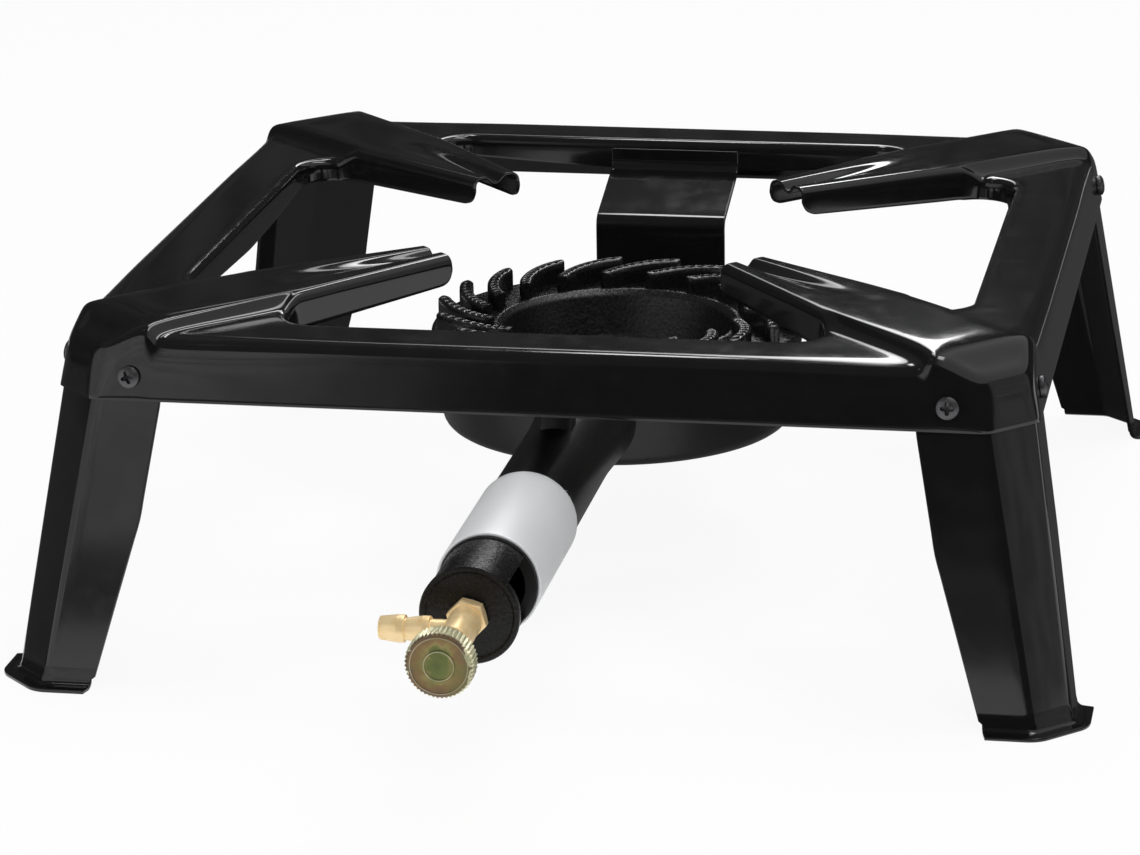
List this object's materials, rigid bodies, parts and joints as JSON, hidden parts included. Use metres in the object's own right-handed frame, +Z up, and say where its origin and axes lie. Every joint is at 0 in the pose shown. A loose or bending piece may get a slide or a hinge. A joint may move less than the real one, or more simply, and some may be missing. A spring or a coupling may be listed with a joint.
{
  "type": "propane burner stand",
  "caption": "Square pressed-steel stand on splayed sheet legs, with diagonal pot supports, a swirl-vane cast burner, mixer tube with sliding air shutter and needle valve.",
  "frame": {"origin": "centre of the stand's footprint at ground level, under the middle of its full length from knob to rear feet", "axes": "+Z up; the mixer tube, valve and knob point towards -Y; the hose tail points towards -X"},
  "size_m": [0.46, 0.6246, 0.154],
  "materials": {
    "black_enamel": "glossy black enamel on pressed sheet",
    "cast_black": "black painted casting, rough on the crown, smoother on the tube",
    "screw_grey": "blackened steel",
    "shutter_silver": "bright sheet with a fine grain",
    "brass": "machined",
    "zinc_yellow": "yellow-passivated zinc, knurled",
    "fibre": "pressed gland packing"
  },
  "bodies": {
    "stand": {"top_frame": "black_enamel", "leg_front_left": "black_enamel", "leg_front_right": "black_enamel", "leg_rear_left": "black_enamel", "leg_rear_right": "black_enamel", "leg_screws": "screw_grey", "leg_nuts": "screw_grey", "rear_bracket": "black_enamel", "burner_casting": "cast_black", "burner_crown": "cast_black", "burner_bolt": "screw_grey", "burner_washer": "screw_grey", "burner_nut": "screw_grey", "front_hanger": "black_enamel", "hanger_screw": "screw_grey", "lock_nut": "brass", "valve_body": "brass", "injector_jet": "brass", "gland_packing": "fibre", "gland_nut": "brass"},
    "air_shutter": {"air_shutter": "shutter_silver"},
    "valve_spindle": {"valve_spindle": "brass"},
    "knob": {"knob": "zinc_yellow"}
  },
  "joints": [
    {"name": "shutter_slide", "type": "slide", "parent": "stand", "child": "air_shutter", "axis": [0, -1, 0], "range_m": [0, 0.033]},
    {"name": "spindle_travel", "type": "slide", "parent": "stand", "child": "valve_spindle", "axis": [0, -1, 0], "range_m": [0, 0.002]},
    {"name": "knob_turn", "type": "hinge", "parent": "valve_spindle", "child": "knob", "pos_m": [0, -0.30527, 0.082], "axis": [0, -1, 0], "range_deg": [0, 720]}
  ],
  "couplings": [
    {"joint": "knob_turn", "follows": "spindle_travel", "rad_per_m": 6283.2}
  ]
}
